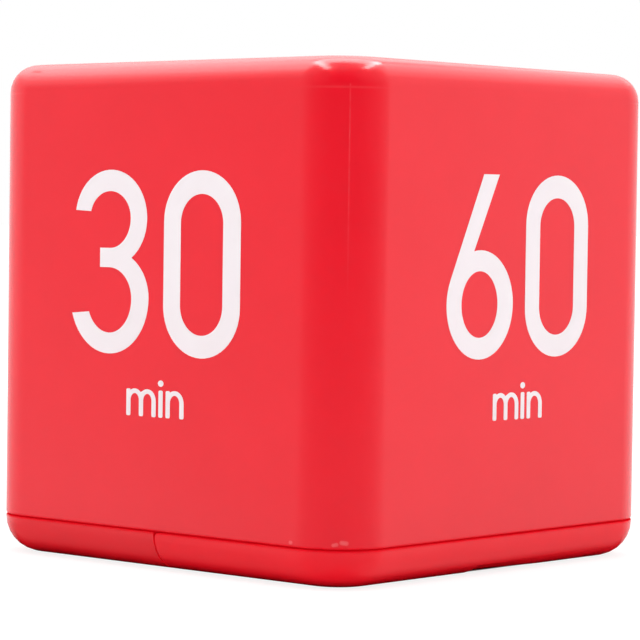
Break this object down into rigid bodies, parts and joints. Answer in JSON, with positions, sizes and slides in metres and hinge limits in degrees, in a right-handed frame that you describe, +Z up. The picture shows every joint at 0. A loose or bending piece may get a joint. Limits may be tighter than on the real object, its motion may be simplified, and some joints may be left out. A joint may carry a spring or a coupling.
{
  "type": "cube timer",
  "caption": "Cube-shaped countdown timer with rounded edges, a preset number on each side, a display window in the top and a slide-off battery door in the base.",
  "frame": {"origin": "middle of the underside, on the surface that the cube stands on", "axes": "+Z up through the display window, -Y out of the side with the 30, +X out of the side with the 60, which is also the way that the battery door slides off"},
  "size_m": [0.0636, 0.0636, 0.0641],
  "materials": {
    "shell_red": "satin moulded plastic with a fine even texture",
    "base_red": "satin moulded plastic with a fine even texture",
    "clear_lens": "clear gloss window",
    "lcd_glass": "grey-green display glass with polarising film",
    "white_plastic": "satin moulded plastic",
    "connector_rubber": "matte silicone rubber with carbon layers",
    "board_green": "satin solder mask",
    "screw_steel": "zinc-plated steel",
    "resin_black": "gloss potting resin",
    "nickel": "nickel-plated metal",
    "black_plastic": "satin moulded plastic",
    "coil_copper": "enamelled copper wire on a ferrite core",
    "ball_steel": "polished steel",
    "cell_sleeve": "plain sleeve with bare metal ends",
    "sounder_brass": "rolled brass",
    "sounder_ceramic": "silvered ceramic"
  },
  "bodies": {
    "housing": {"main_shell": "shell_red", "base_cover": "base_red", "display_lens": "clear_lens", "display_glass": "lcd_glass", "display_holder": "white_plastic", "display_strip_front": "connector_rubber", "display_strip_rear": "connector_rubber", "main_board": "board_green", "board_screw_1": "screw_steel", "board_screw_2": "screw_steel", "board_screw_3": "screw_steel", "board_screw_4": "screw_steel", "controller_drop": "resin_black", "clock_crystal": "nickel", "capacitor": "black_plastic", "sounder_coil": "coil_copper", "transistor": "black_plastic", "ball_can_back": "nickel", "ball_stopper_back": "black_plastic", "ball_can_left": "nickel", "ball_stopper_left": "black_plastic", "ball_can_front": "nickel", "ball_stopper_front": "black_plastic", "ball_can_right": "nickel", "ball_stopper_right": "black_plastic", "cell_1": "cell_sleeve", "cell_2": "cell_sleeve", "contact_bridge": "nickel", "contact_positive": "nickel", "contact_negative": "nickel", "cover_screw_front": "screw_steel", "cover_screw_rear": "screw_steel", "switch_case": "nickel", "switch_board": "board_green", "switch_screw_left": "screw_steel", "switch_screw_right": "screw_steel", "sounder_disc": "sounder_brass", "sounder_ceramic": "sounder_ceramic"},
    "door": {"battery_door": "base_red"},
    "power_switch": {"switch_knob": "black_plastic", "switch_carrier": "white_plastic"},
    "tilt_ball_back": {"ball_back": "ball_steel"},
    "tilt_ball_left": {"ball_left": "ball_steel"},
    "tilt_ball_front": {"ball_front": "ball_steel"},
    "tilt_ball_right": {"ball_right": "ball_steel"}
  },
  "joints": [
    {"name": "door_slide", "type": "slide", "parent": "housing", "child": "door", "axis": [1, 0, 0], "range_m": [0, 0.021]},
    {"name": "power_switch_slide", "type": "slide", "parent": "housing", "child": "power_switch", "axis": [1, 0, 0], "range_m": [0, 0.0025]},
    {"name": "ball_back_roll", "type": "slide", "parent": "housing", "child": "tilt_ball_back", "axis": [0, -1, 0], "range_m": [0, 0.002]},
    {"name": "ball_left_roll", "type": "slide", "parent": "housing", "child": "tilt_ball_left", "axis": [1, 0, 0], "range_m": [0, 0.002]},
    {"name": "ball_front_roll", "type": "slide", "parent": "housing", "child": "tilt_ball_front", "axis": [0, 1, 0], "range_m": [0, 0.002]},
    {"name": "ball_right_roll", "type": "slide", "parent": "housing", "child": "tilt_ball_right", "axis": [-1, 0, 0], "range_m": [0, 0.002]}
  ]
}
